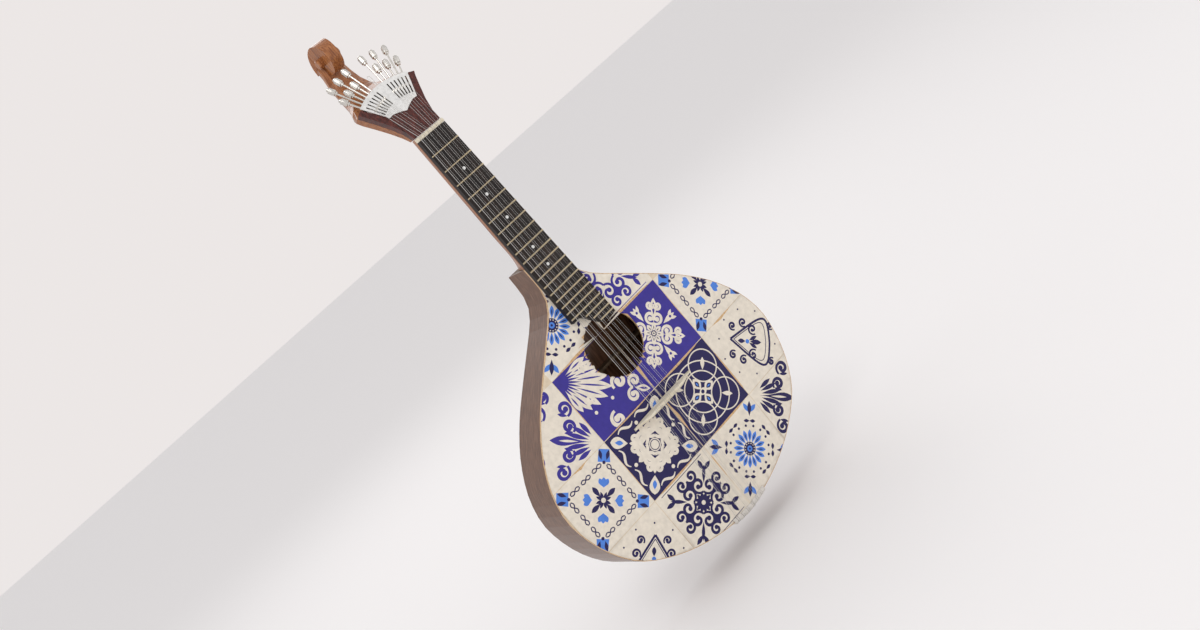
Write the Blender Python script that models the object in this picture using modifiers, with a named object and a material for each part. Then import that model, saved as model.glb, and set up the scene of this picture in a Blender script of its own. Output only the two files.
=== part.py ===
"""Portuguese guitar with a fan tuner and a scroll head, as separate pieces at real size.

The pieces are laid out in the instrument's own frame, in millimetres: x runs to the treble side,
y up the neck from the bridge line, z out of the soundboard. The empty "instrument" stands that frame
upright, so that the neck points up and the soundboard faces -Y, with the back's middle at the origin.
"""

import math

import bmesh
import bpy
import numpy as np
from mathutils import Matrix, Vector

MM = 0.001
GAP = 0.3  # between pieces that touch

# Scale and fingerboard
SCALE_LENGTH = 440.0
FRETS_WHOLE = 18
FRETS_ALL = 21
FRET_HEIGHT = 1.0
FRET_WIDTH = 1.8
NUT_WIDTH = 44.0
NUT_THICKNESS = 5.0
NUT_RISE = 1.0
BOARD_WIDTH_LAST_FRET = 54.2
BOARD_THICKNESS = 7.9
BOARD_TOP_AT_LAST_FRET = 6.4
BOARD_PITCH = 0.0347  # drop of the board's top per mm toward the nut
BOARD_PAST_FRET = 4.6

# Body
OUTLINE = [  # half-width and height of points on one side, tail to neck
    (0, -185.0), (48, -178.5), (94, -164.0), (131, -144.5), (160, -122.0), (181, -91.0),
    (194.5, -54.0), (199, -18.0), (192.5, 15.0), (171, 57.0), (137, 97.2), (102, 128.3),
    (68, 156.6), (46, 175.2), (34, 188.0), (27.5, 202.0), (26, 218.0), (26, 240.0),
]
SIDE_POINTS = 40
DOME_SPAN = 190.0
DOME_ACROSS = 5.2
DOME_TO_TAIL = 5.2
DOME_TO_NECK = 3.0
DEPTH_AT_NECK = 55.0
DEPTH_AT_TAIL = 97.0
TOP_THICKNESS = 2.8
BACK_THICKNESS = 3.0
RIB_THICKNESS = 2.5
LINING_WIDTH = 5.0
LINING_HEIGHT = 12.0
LINING_END = 186.0
HOLE_RADIUS = 42.0
HOLE_HEIGHT = 95.4
BLOCK_LENGTH = 38.0
TAIL_BLOCK_WIDTH = 56.0
TAIL_BLOCK_LENGTH = 20.0
TOP_BRACES = {"brace_upper": 148.5, "brace_middle": 44.0, "brace_lower": -72.0}
BACK_BRACES = {"back_brace_upper": 70.0, "back_brace_lower": -85.0}
BRACE_WIDTH = 6.0
BRACE_HEIGHT = 12.0

# Bridge, saddle and strings
BRIDGE_LENGTH = 112.0
BRIDGE_MIDDLE_WIDTH = 8.0
BRIDGE_END_WIDTH = 3.4
BRIDGE_HEIGHT = 14.0
BRIDGE_END_HEIGHT = 3.0
TAILPIECE_WIDTH = 64.0
TAILPIECE_DROP = 36.0
TAILPIECE_THICKNESS = 2.2
PIN_RADIUS = 1.0
PIN_LENGTH = 4.0
COURSES = 6
PAIR_GAP = 2.6
SPAN_AT_NUT = 38.0
SPAN_AT_BRIDGE = 46.0
SPAN_AT_TAIL = 52.0
STRING_RADII = [0.35, 0.17, 0.30, 0.15, 0.25, 0.14, 0.22, 0.22, 0.17, 0.17, 0.13, 0.13]

# Neck and head
NECK_DEPTH = 19.0
HEEL_START = 292.0
HEAD_ANGLE = math.radians(20.5)
FACE_TOP = -1.5
FACE_THICKNESS = 8.5
FACE_OUTLINE = [(21.8, 4.0), (23.6, 20.0), (29.5, 37.0), (38.0, 55.0), (44.5, 68.0), (48.3, 74.0)]
FACE_END_INNER = (40.8, 77.4)
HEAD_STEPS = [  # along, front height, back height, half-width, front half-width
    (13.0, -10.3, -19.0, 21.8, 21.8), (22.0, -10.3, -21.5, 24.0, 24.0), (37.0, -10.3, -23.5, 29.5, 29.5),
    (55.0, -10.3, -25.0, 38.0, 38.0), (68.0, -10.3, -26.5, 44.5, 44.5), (77.0, -10.6, -29.0, 47.0, 46.6),
    (85.0, -15.0, -35.0, 44.5, 41.0), (92.0, -22.0, -41.5, 39.5, 33.0), (100.0, -31.0, -48.5, 33.5, 24.5),
    (110.0, -42.0, -56.0, 28.0, 18.5), (122.0, -49.5, -61.0, 24.0, 15.0), (136.0, -51.5, -63.0, 21.0, 13.5),
    (150.0, -49.0, -62.5, 19.0, 12.5), (163.0, -42.0, -60.5, 16.5, 11.5), (174.0, -40.0, -58.2, 15.6, 12.0),
]
SCROLL_ALONG = 172.5
SCROLL_HEIGHT = -33.6
SCROLL_TURNS = [  # outer radius and half-width where a turn starts, every quarter turn from the back
    [(25.0, 15.5), (22.8, 11.5), (22.0, 8.6), (21.0, 8.4), (17.0, 10.5)],
    [(16.6, 11.5), (14.2, 12.2), (12.6, 12.8), (11.0, 13.4), (9.6, 14.0)],
]
EYE_RADIUS = 6.2
EYE_HALF_WIDTH = 17.5

# Fan tuner, in degrees from the head's middle line and radii from the nut
SLOTS_A_SIDE = 6
FIRST_SLOT = 6.2
SLOT_STEP = 3.6
SLOT_INNER = 58.0
SLOT_OUTER = 82.5
SLOT_WIDTH = 1.7
PLATE_THICKNESS = 1.2
PLATE_OUTER = 88.4
PLATE_HALF_ANGLE = 27.2
PLATE_SCALLOP = [(23.5, 46.0), (17.0, 46.6), (12.0, 45.0), (6.0, 42.8), (0.0, 39.7)]
BED_INNER = 51.6
BED_WALL = 2.6
BED_FLOOR = 1.3
BED_HALF_ANGLE = 25.4
SCREW_DEPTH = 4.8
SCREW_RADIUS = 0.95
SHAFT_RADIUS = 1.15
COLLAR_RADIUS = 2.1
COLLAR_LENGTH = 1.2
KNOB_RADIUS = 3.8
KNOB_LENGTH = 13.5
KNOB_TIPS = (135.5, 116.5)
HOOK_REST = 70.0
HOOK_BLOCK = (3.0, 5.0, 3.4)  # across, along, high
HOOK_STEM = (1.1, 2.6, 2.6)  # across, along, rise over the plate
LOOP_REACH = 17.0
LOOP_WIRE = 0.5

FINISHES = {  # colour, roughness, metallic
    "tiled_spruce": ((0.80, 0.76, 0.72), 0.25, 0.0),
    "walnut": ((0.26, 0.14, 0.085), 0.35, 0.0),
    "cedar": ((0.42, 0.17, 0.07), 0.4, 0.0),
    "rosewood": ((0.10, 0.018, 0.012), 0.25, 0.0),
    "ebony": ((0.012, 0.009, 0.008), 0.35, 0.0),
    "bone": ((0.82, 0.74, 0.55), 0.35, 0.0),
    "spruce": ((0.62, 0.45, 0.27), 0.6, 0.0),
    "nickel": ((0.72, 0.69, 0.64), 0.25, 1.0),
    "steel": ((0.60, 0.58, 0.56), 0.3, 1.0),
}

# The scene and its helpers


def clear_scene():
    for obj in list(bpy.data.objects):
        bpy.data.objects.remove(obj, do_unlink=True)


def new_collection(name):
    made = bpy.data.collections.new(name)
    bpy.context.scene.collection.children.link(made)
    return made


def new_empty(name, parent=None, location=(0, 0, 0), turn=None):
    empty = bpy.data.objects.new(name, None)
    PARTS.objects.link(empty)
    empty.parent = parent
    empty.matrix_basis = Matrix.Translation(Vector(location) * MM) @ (turn or Matrix())
    return empty


def finish_material(finish):
    found = bpy.data.materials.get(finish)
    if found:
        return found
    colour, roughness, metallic = FINISHES[finish]
    made = bpy.data.materials.new(finish)
    made.use_nodes = True
    shader = made.node_tree.nodes["Principled BSDF"]
    shader.inputs["Base Color"].default_value = (*colour, 1)
    shader.inputs["Roughness"].default_value = roughness
    shader.inputs["Metallic"].default_value = metallic
    return made


def place(mesh, name, finish, parent, smooth=40):
    """An object of this mesh among the parts, shaded smooth up to the given angle."""
    obj = bpy.data.objects.new(name, mesh)
    PARTS.objects.link(obj)
    obj.parent = parent
    if not mesh.materials:
        mesh.materials.append(finish_material(finish))
    mesh.shade_smooth()
    mesh.set_sharp_from_angle(angle=math.radians(smooth))
    return obj


def as_cutter(obj):
    PARTS.objects.unlink(obj)
    CUTTERS.objects.link(obj)
    obj.hide_render = True
    obj.display_type = "WIRE"
    return obj


def boolean(obj, other, operation):
    modifier = obj.modifiers.new(operation.title() + " " + other.name, "BOOLEAN")
    modifier.operation = operation
    modifier.solver = "EXACT"
    modifier.object = other


def mesh_of(name, bm):
    """The bmesh, given in millimetres, as a closed mesh in metres with its faces outward."""
    bmesh.ops.scale(bm, vec=(MM, MM, MM), verts=bm.verts)
    bmesh.ops.recalc_face_normals(bm, faces=bm.faces)
    mesh = bpy.data.meshes.new(name)
    bm.to_mesh(mesh)
    bm.free()
    return mesh


def loft(name, sections):
    """A closed mesh through sections, each a list of as many (x, y, z) points, with flat ends."""
    bm = bmesh.new()
    rings = [[bm.verts.new(point) for point in section] for section in sections]
    count = len(rings[0])
    for ring, after in zip(rings, rings[1:]):
        for i in range(count):
            j = (i + 1) % count
            bm.faces.new((ring[i], ring[j], after[j], after[i]))
    bm.faces.new(rings[0][::-1])
    bm.faces.new(rings[-1])
    return mesh_of(name, bm)


def slab(name, outline, low, high):
    """A flat outline between two heights, each a number or a function of x and y."""
    def lift(height, x, y):
        return height(x, y) if callable(height) else height
    below = [(x, y, lift(low, x, y)) for x, y in outline]
    above = [(x, y, lift(high, x, y)) for x, y in outline]
    return loft(name, [below, above])


def smooth_line(points, count):
    """Points spread evenly along a cubic curve through the given ones, by their chord lengths."""
    known = np.array(points, float)
    step = np.r_[0, np.cumsum(np.linalg.norm(np.diff(known, axis=0), axis=1))]
    slope = np.gradient(known, step, axis=0, edge_order=2)
    fine = []
    for a, b, ta, tb, pa, pb in zip(step, step[1:], slope, slope[1:], known, known[1:]):
        t = np.linspace(0, 1, 24, endpoint=False)[:, None]
        reach = b - a
        fine.append((2 * t**3 - 3 * t**2 + 1) * pa + (t**3 - 2 * t**2 + t) * reach * ta
                    + (3 * t**2 - 2 * t**3) * pb + (t**3 - t**2) * reach * tb)
    fine = np.vstack([*fine, known[-1:]])
    travel = np.r_[0, np.cumsum(np.linalg.norm(np.diff(fine, axis=0), axis=1))]
    wanted = np.linspace(0, travel[-1], count)
    return np.c_[np.interp(wanted, travel, fine[:, 0]), np.interp(wanted, travel, fine[:, 1])]


def inset(line, distance):
    """An open line of points moved to its left by the distance."""
    along = np.gradient(line, axis=0)
    along /= np.linalg.norm(along, axis=1)[:, None]
    return line + np.c_[-along[:, 1], along[:, 0]] * distance


def arc(radius, start, end, count):
    """Points round the head's apex, at angles in degrees from its middle line."""
    angles = np.radians(np.linspace(start, end, count))
    return [(radius * math.sin(a), radius * math.cos(a)) for a in angles]


def rod(name, stations, sides=10):
    """A closed turned bar along y through (distance, radius) stations."""
    rings = []
    for along, radius in stations:
        turn = [math.tau * (i + 0.5) / sides for i in range(sides)]
        rings.append([(radius * math.cos(a), along, radius * math.sin(a)) for a in turn])
    return loft(name, rings)


# Heights and widths that several pieces share

SIDE = smooth_line(OUTLINE, SIDE_POINTS)  # the treble side's outline, tail to neck
NECK_END = OUTLINE[-1][1]
TAIL_END = OUTLINE[0][1]


def dome(x, y):
    """Top of the soundboard."""
    fall = DOME_TO_NECK if y > 0 else DOME_TO_TAIL
    return -DOME_ACROSS * (x / DOME_SPAN) ** 2 - fall * (y / DOME_SPAN) ** 2


def under_top(x, y):
    return dome(x, y) - TOP_THICKNESS


def back_outer(x, y):
    share = (y - TAIL_END) / (NECK_END - TAIL_END)
    return -(DEPTH_AT_TAIL + (DEPTH_AT_NECK - DEPTH_AT_TAIL) * share)


def back_inner(x, y):
    return back_outer(x, y) + BACK_THICKNESS


def half_width(y):
    """Half of the body's width at a height, on the side's part above or below its widest point."""
    return float(np.interp(y, SIDE[:, 1], SIDE[:, 0]))


def tail_edge(x):
    """The outline's height near the tail at a distance from the middle."""
    low = SIDE[: SIDE_POINTS // 3]
    return float(np.interp(abs(x), low[:, 0], low[:, 1]))


def board_top(y):
    return BOARD_TOP_AT_LAST_FRET - BOARD_PITCH * (y - fret_height(FRETS_WHOLE))


def fret_height(number):
    return SCALE_LENGTH * 2 ** (-number / 12)


def board_half(y):
    share = (SCALE_LENGTH - y) / (SCALE_LENGTH - fret_height(FRETS_WHOLE))
    return (NUT_WIDTH + (BOARD_WIDTH_LAST_FRET - NUT_WIDTH) * share) / 2


def course_places(span):
    """Where the twelve strings cross a line, from the bass side, in pairs."""
    step = (span - PAIR_GAP) / (COURSES - 1)
    middles = [-(span - PAIR_GAP) / 2 + step * course for course in range(COURSES)]
    return [middle + side * PAIR_GAP / 2 for middle in middles for side in (-1, 1)]


NUT_TOP = board_top(SCALE_LENGTH) + FRET_HEIGHT + NUT_RISE - 0.6
NECK_TOP_DROP = BOARD_THICKNESS + GAP
NUT_END = SCALE_LENGTH + NUT_THICKNESS - 0.8
HEAD_START = NUT_END + GAP


def head_point(x, along, height):
    """A point given in the head's frame, in the instrument's frame."""
    y = SCALE_LENGTH + along * math.cos(HEAD_ANGLE) + height * math.sin(HEAD_ANGLE)
    z = board_top(SCALE_LENGTH) - along * math.sin(HEAD_ANGLE) + height * math.cos(HEAD_ANGLE)
    return (x, y, z)


def head_joint(height):
    """How far along the head the upright joint with the neck lies, at a height in the head's frame."""
    return (HEAD_START + GAP - SCALE_LENGTH - height * math.sin(HEAD_ANGLE)) / math.cos(HEAD_ANGLE)


# Body


def full_outline():
    left = SIDE[1:][::-1] * (-1, 1)
    return np.vstack([SIDE, left])


def make_soundboard(parent):
    """A ringed sheet from the soundhole to the outline, lifted to the dome and thickened downward."""
    edge = full_outline()
    centre = np.array((0, HOLE_HEIGHT))
    away = edge - centre
    hole = centre + away / np.linalg.norm(away, axis=1)[:, None] * HOLE_RADIUS
    bm = bmesh.new()
    rings = []
    for share in (0, 0.12, 0.35, 0.65, 1):
        ring = hole + (edge - hole) * share
        rings.append([bm.verts.new((x, y, dome(x, y))) for x, y in ring])
    count = len(edge)
    for ring, after in zip(rings, rings[1:]):
        for i in range(count):
            j = (i + 1) % count
            bm.faces.new((ring[i], after[i], after[j], ring[j]))
    bmesh.ops.scale(bm, vec=(MM, MM, MM), verts=bm.verts)
    mesh = bpy.data.meshes.new("soundboard")
    bm.to_mesh(mesh)
    bm.free()
    obj = place(mesh, "soundboard", "tiled_spruce", parent)
    shell = obj.modifiers.new("Thickness", "SOLIDIFY")
    shell.thickness = TOP_THICKNESS * MM
    shell.offset = -1
    return obj


def make_ribs(parent):
    outer = SIDE.copy()
    outer[0, 0] = GAP / 2
    inner = inset(outer, RIB_THICKNESS)
    inner[0, 0] = GAP / 2
    inner[-1, 1] = outer[-1, 1]
    for name, mirror in (("rib_treble", 1), ("rib_bass", -1)):
        sections = []
        for (xo, yo), (xi, yi) in zip(outer, inner):
            sections.append([
                (mirror * xo, yo, under_top(xo, yo) - GAP), (mirror * xo, yo, back_inner(xo, yo) + GAP),
                (mirror * xi, yi, back_inner(xi, yi) + GAP), (mirror * xi, yi, under_top(xi, yi) - GAP),
            ])
        place(loft(name, sections), name, "walnut", parent)


def make_linings(parent):
    """Strips inside the ribs, under the soundboard and on the back, from shoulder to shoulder."""
    below = SIDE[SIDE[:, 1] < LINING_END]
    line = np.vstack([below[1:][::-1] * (-1, 1), below])
    outer = inset(line, RIB_THICKNESS + GAP)
    inner = inset(line, RIB_THICKNESS + GAP + LINING_WIDTH)
    for name, base, rise in (("lining_top", under_top, -1), ("lining_back", back_inner, 1)):
        sections = []
        for (xo, yo), (xi, yi) in zip(outer, inner):
            near = [base(xo, yo) + rise * GAP, base(xi, yi) + rise * GAP]
            far = [height + rise * LINING_HEIGHT for height in near]
            sections.append([(xo, yo, near[0]), (xo, yo, far[0]), (xi, yi, far[1]), (xi, yi, near[1])])
        place(loft(name, sections), name, "spruce", parent)


def make_back(parent):
    place(slab("back_plate", full_outline(), back_outer, back_inner), "back_plate", "walnut", parent)


def make_blocks(parent):
    top_of_board = NECK_END - GAP
    low_end = NECK_END - BLOCK_LENGTH
    half = half_width(NECK_END) - RIB_THICKNESS - GAP
    corners = [(-half, low_end), (half, low_end), (half, top_of_board), (-half, top_of_board)]
    neck_block = slab(
        "neck_block", corners, lambda x, y: back_inner(x, y) + GAP, lambda x, y: under_top(x, y) - GAP
    )
    place(neck_block, "neck_block", "spruce", parent)
    side = TAIL_BLOCK_WIDTH / 2
    reach = RIB_THICKNESS + GAP
    across = np.linspace(-side, side, 9)
    corners = [(x, tail_edge(x) + reach) for x in across]
    flat = tail_edge(0) + reach + TAIL_BLOCK_LENGTH
    corners += [(side, flat), (-side, flat)]
    clear = LINING_HEIGHT + 2 * GAP
    tail_block = slab(
        "tail_block", corners,
        lambda x, y: back_inner(x, y) + clear, lambda x, y: under_top(x, y) - clear,
    )
    place(tail_block, "tail_block", "spruce", parent)


def make_braces(parent):
    inside = inset(SIDE, RIB_THICKNESS + LINING_WIDTH + 3 * GAP)
    for name, height in {**TOP_BRACES, **BACK_BRACES}.items():
        low, high = height - BRACE_WIDTH / 2, height + BRACE_WIDTH / 2
        reach = min(np.interp((low, high), inside[:, 1], inside[:, 0]))
        on_top = name in TOP_BRACES
        base = under_top if on_top else back_inner
        rise = -1 if on_top else 1
        sections = []
        for x in np.linspace(-reach, reach, 9):
            tall = BRACE_HEIGHT * (0.55 if abs(x) > 0.9 * reach else 1)
            near = [base(x, y) + rise * GAP for y in (low, high)]
            far = base(x, height) + rise * (GAP + tall)
            sections.append([
                (x, low, near[0]), (x, high, near[1]),
                (x, high - 1.2, far), (x, low + 1.2, far),
            ])
        place(loft(name, sections), name, "spruce", parent)


# Bridge and tailpiece


def bridge_shape(x):
    """Half-width and height of the bridge at a distance from its middle."""
    share = abs(x) / (BRIDGE_LENGTH / 2)
    flat = SPAN_AT_BRIDGE / BRIDGE_LENGTH + 0.06
    fall = max(0.0, (share - flat) / (1 - flat))
    ease = fall * fall * (3 - 2 * fall)
    wide = BRIDGE_MIDDLE_WIDTH + (BRIDGE_END_WIDTH - BRIDGE_MIDDLE_WIDTH) * share**2
    tall = BRIDGE_HEIGHT + (BRIDGE_END_HEIGHT - BRIDGE_HEIGHT) * ease
    return wide / 2, tall


def make_bridge(parent):
    """Twin feet with a low arch between them, a leaning back and a crest for the strings."""
    sections = []
    reach = BRIDGE_LENGTH / 2
    for x in np.linspace(-reach, reach, 25):
        wide, tall = bridge_shape(x)
        hollow = 2.2 * max(0.0, 1 - (x / (0.72 * reach)) ** 2)
        base = dome(x, 0) + GAP
        crest = base + tall
        sections.append([
            (x, -wide, base + hollow), (x, wide, base + hollow), (x, 0.62 * wide, crest - 1.4),
            (x, 0.25 * wide, crest), (x, -0.25 * wide, crest), (x, -0.62 * wide, crest - 1.4),
        ])
    place(loft("bridge", sections), "bridge", "bone", parent)


def make_tailpiece(parent):
    """A strip folded over the tail's edge, with a pin for each string."""
    side = TAILPIECE_WIDTH / 2
    sections = []
    for x in np.linspace(-side, side, 9):
        edge, top = tail_edge(x), dome(x, tail_edge(x))
        out = edge - GAP - TAILPIECE_THICKNESS
        foot = top - TAILPIECE_DROP
        sections.append([
            (x, edge + 5, top + GAP), (x, edge + 5, top + 1.2), (x, edge - 0.5, top + 1.7),
            (x, out, top + 0.2), (x, out, foot), (x, edge - GAP, foot), (x, edge - GAP, top + GAP),
        ])
    piece = place(loft("tailpiece", sections), "tailpiece", "nickel", parent)
    for number, x in enumerate(course_places(SPAN_AT_TAIL)):
        stations = [(0, PIN_RADIUS), (PIN_LENGTH + 1, PIN_RADIUS), (PIN_LENGTH + 1.2, PIN_RADIUS * 1.5),
                    (PIN_LENGTH + 2.2, PIN_RADIUS * 1.5)]
        pin = place(rod("tail_pin", stations, 8), f"tail_pin_{number + 1}", "nickel", parent)
        base = tail_edge(x) - GAP - TAILPIECE_THICKNESS + 1
        pin.matrix_basis = Matrix.Translation(Vector((x, base, pin_height(number, x))) * MM) @ Matrix.Rotation(
            math.pi, 4, "Z")
        boolean(piece, as_cutter(pin), "UNION")


def pin_height(number, x):
    return dome(x, tail_edge(x)) - (13 if number % 2 else 22)


# Fingerboard, nut and neck


def board_end(x):
    """Where the board ends at a distance from the middle: stepped down to the treble side."""
    bass = fret_height(FRETS_WHOLE) - BOARD_PAST_FRET
    treble = fret_height(FRETS_ALL) - BOARD_PAST_FRET
    share = min(1.0, max(0.0, (x + 17) / 26))
    return bass + (treble - bass) * share * share * (3 - 2 * share)


def make_fingerboard(parent):
    """The board with its frets, cut at the end by the stepped curve."""
    start = fret_height(FRETS_ALL) - BOARD_PAST_FRET - 6
    stations = [start]
    for number in range(FRETS_ALL, 0, -1):
        middle = fret_height(number)
        stations += [middle - FRET_WIDTH / 2, middle - FRET_WIDTH / 4, middle + FRET_WIDTH / 4,
                     middle + FRET_WIDTH / 2]
    stations.append(SCALE_LENGTH - 0.8 - GAP)
    side = []
    for index, y in enumerate(stations):
        on_fret = 0 < index < len(stations) - 1 and (index - 1) % 4 in (1, 2)
        side.append((y, board_top(y) + (FRET_HEIGHT if on_fret else 0)))
    side += [(y, board_top(y) - BOARD_THICKNESS) for y in (stations[-1], stations[0])]
    sections = [[(edge * board_half(y), y, z) for y, z in side] for edge in (-1, 1)]
    board = place(loft("fingerboard", sections), "fingerboard", "ebony", parent)
    across = np.linspace(-board_half(0), board_half(0), 33)
    below = [(x, start - 20) for x in (across[-1], across[0])]
    outline = [(x, board_end(x)) for x in across] + below
    cutter = place(slab("board_end_cut", outline, -30, 30), "board_end_cut", "ebony", parent)
    boolean(board, as_cutter(cutter), "DIFFERENCE")


def make_nut(parent):
    half = NUT_WIDTH / 2
    low, high = SCALE_LENGTH - 0.8, NUT_END
    base = board_top(low) - BOARD_THICKNESS - 0.2
    profile = [(low, base), (high, base), (high, NUT_TOP - 1.6), (high - 1.8, NUT_TOP - 0.4),
               (low + 1.2, NUT_TOP), (low, NUT_TOP - 0.5)]
    place(loft("nut", [[(x, y, z) for y, z in profile] for x in (-half, half)]), "nut", "bone", parent)


def neck_section(y, end):
    """A D-shaped section of the neck, which deepens into the heel."""
    half = board_half(y) - 0.2
    top = board_top(y) - NECK_TOP_DROP
    lean = min(1.0, max(0.0, (HEEL_START - y) / (HEEL_START - NECK_END)))
    heel = -back_outer(0, NECK_END) - NECK_DEPTH + top
    depth = NECK_DEPTH * (1 + 0.08 * (1 - (y - NECK_END) / (SCALE_LENGTH - NECK_END))) + heel * lean**2.6
    narrow = 1 - 0.42 * lean**1.5
    points = []
    for turn in np.linspace(0, math.pi, 13):
        c, s = math.cos(turn), math.sin(turn)
        bulge = abs(s) ** 0.75
        shrink = 1 - (1 - narrow) * bulge
        points.append((half * math.copysign(abs(c) ** 0.8, c) * shrink, end, top - 2.5 - (depth - 2.5) * bulge))
    return [(half, end, top), *points, (-half, end, top)]


def make_neck(parent):
    ends = [NECK_END + GAP, 243, 247, 252, 258, 265, 273, 282, 292, 340, 390, 428, HEAD_START]
    sections = [neck_section(y, y) for y in ends]
    place(loft("neck", sections), "neck", "cedar", parent)


# Head with its scroll


def make_head(parent):
    """A loft that follows the head back from the tuner and up into the scroll."""
    sections = []
    for index, (along, front, back, wide, narrow) in enumerate(HEAD_STEPS):
        lean = 0.0
        if index > 5:
            before, after = HEAD_STEPS[index - 1], HEAD_STEPS[min(index + 1, len(HEAD_STEPS) - 1)]
            slope = (after[2] + after[1] - before[2] - before[1]) / 2 / (after[0] - before[0])
            lean = max(-0.7, min(0.7, slope)) * 0.6
        ring = []
        middle, high = (front + back) / 2, (front - back) / 2
        profile = [(narrow, front), (wide, front - 0.35 * 2 * high), (wide, back + 0.55 * high),
                   (wide * 0.72, back), (0.3 * wide, back - 0.4)]
        whole = profile + [(-x, h) for x, h in profile[::-1]]
        for x, h in whole:
            w = head_joint(h) + GAP if index == 0 else along - (h - middle) * lean
            ring.append((x, w, h))
        sections.append(ring)
    head = place(loft("head", sections), "head", "cedar", parent)
    for number, turn in enumerate(SCROLL_TURNS):
        body = place(scroll_turn(turn), f"scroll_turn_{number + 1}", "cedar", parent)
        boolean(head, as_cutter(body), "UNION")
    eye = place(rod("scroll_eye", [(-EYE_HALF_WIDTH, EYE_RADIUS * 0.8), (-EYE_HALF_WIDTH + 1.2, EYE_RADIUS),
                                   (EYE_HALF_WIDTH - 1.2, EYE_RADIUS), (EYE_HALF_WIDTH, EYE_RADIUS * 0.8)], 14),
                "scroll_eye", "cedar", parent)
    eye.matrix_basis = Matrix.Translation(Vector((0, SCROLL_ALONG, SCROLL_HEIGHT)) * MM) @ Matrix.Rotation(
        -math.pi / 2, 4, "Z")
    boolean(head, as_cutter(eye), "UNION")


def scroll_turn(quarters):
    """One turn of the spiral, as a snail outline whose half-width changes round it."""
    steps = 28
    share = np.linspace(0, 4, steps + 1)
    radii = np.interp(share, range(5), [radius for radius, _ in quarters])
    widths = np.interp(share, range(5), [wide for _, wide in quarters])
    angles = -math.pi / 2 + share * math.pi / 2
    points = [(SCROLL_ALONG + r * math.cos(a), SCROLL_HEIGHT + r * math.sin(a)) for r, a in zip(radii, angles)]
    if radii[0] - radii[-1] < 0.5:
        points, widths = points[:-1], widths[:-1]
    return loft("scroll_turn", [[(side * b, y, z) for (y, z), b in zip(points, widths)] for side in (-1, 1)])


def make_face(parent):
    """The head's front plate, open where the tuner lies."""
    right = FACE_OUTLINE + [FACE_END_INNER]
    right += arc(BED_INNER - GAP, BED_HALF_ANGLE + 0.6, 0, 7)
    left = [(-x, y) for x, y in right[::-1]][1:]
    outline = right + left
    low, high = FACE_TOP - FACE_THICKNESS, FACE_TOP
    sections = []
    for height in (low, high):
        level = []
        for x, along in outline:
            start = along == FACE_OUTLINE[0][1]
            level.append((x, head_joint(height) if start else along, height))
        sections.append(level)
    place(loft("head_front", sections), "head_front", "rosewood", parent)


# Fan tuner


def slot_angles():
    right = [FIRST_SLOT + SLOT_STEP * k for k in range(SLOTS_A_SIDE)]
    return [-angle for angle in right[::-1]] + right


def make_fan_plate(parent):
    """The slotted cover, with a wire loop standing out of its outer edge."""
    outline = arc(PLATE_OUTER, -PLATE_HALF_ANGLE, PLATE_HALF_ANGLE, 25)
    outline += PLATE_SCALLOP + [(-x, y) for x, y in PLATE_SCALLOP[::-1]][1:]
    plate = place(slab("fan_plate", outline, -PLATE_THICKNESS, 0), "fan_plate", "nickel", parent)
    half = math.degrees(SLOT_WIDTH / 2 / SLOT_INNER)
    wide = math.degrees(SLOT_WIDTH / 2 / SLOT_OUTER)
    for number, angle in enumerate(slot_angles()):
        corners = arc(SLOT_INNER, angle - half, angle + half, 2) + arc(SLOT_OUTER, angle + wide, angle - wide, 2)
        cutter = slab("slot", corners, -3, 2)
        boolean(plate, as_cutter(place(cutter, f"slot_{number + 1}", "nickel", parent)), "DIFFERENCE")
    loop = wire_loop(parent)
    boolean(plate, as_cutter(loop), "UNION")


def wire_loop(parent):
    """A hairpin of wire whose two legs start inside the plate's edge."""
    curve = bpy.data.curves.new("wire_loop", "CURVE")
    curve.dimensions = "3D"
    curve.bevel_depth = LOOP_WIRE * MM
    curve.bevel_resolution = 1
    curve.use_fill_caps = True
    bow = 1.9
    root = PLATE_OUTER - 1.2
    tip = PLATE_OUTER + LOOP_REACH - bow
    points = [(-0.8 - bow * 0.2, root), (-bow * 0.55, root + 8)]
    turns = np.linspace(math.pi, 0, 9)
    points += [(bow * math.cos(a), tip + bow * math.sin(a)) for a in turns]
    points += [(bow * 0.55, root + 8), (0.8 + bow * 0.2, root)]
    spline = curve.splines.new("POLY")
    spline.points.add(len(points) - 1)
    for point, (x, y) in zip(spline.points, points):
        point.co = (x * MM, y * MM, -PLATE_THICKNESS / 2 * MM, 1)
    guide = bpy.data.objects.new("wire_loop_curve", curve)
    PARTS.objects.link(guide)
    mesh = bpy.data.meshes.new_from_object(guide.evaluated_get(bpy.context.evaluated_depsgraph_get()))
    bpy.data.objects.remove(guide)
    bm = bmesh.new()
    bm.from_mesh(mesh)
    bmesh.ops.remove_doubles(bm, verts=bm.verts, dist=1e-6)
    bmesh.ops.recalc_face_normals(bm, faces=bm.faces)
    bm.to_mesh(mesh)
    bm.free()
    return place(mesh, "wire_loop", "nickel", parent)


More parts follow.
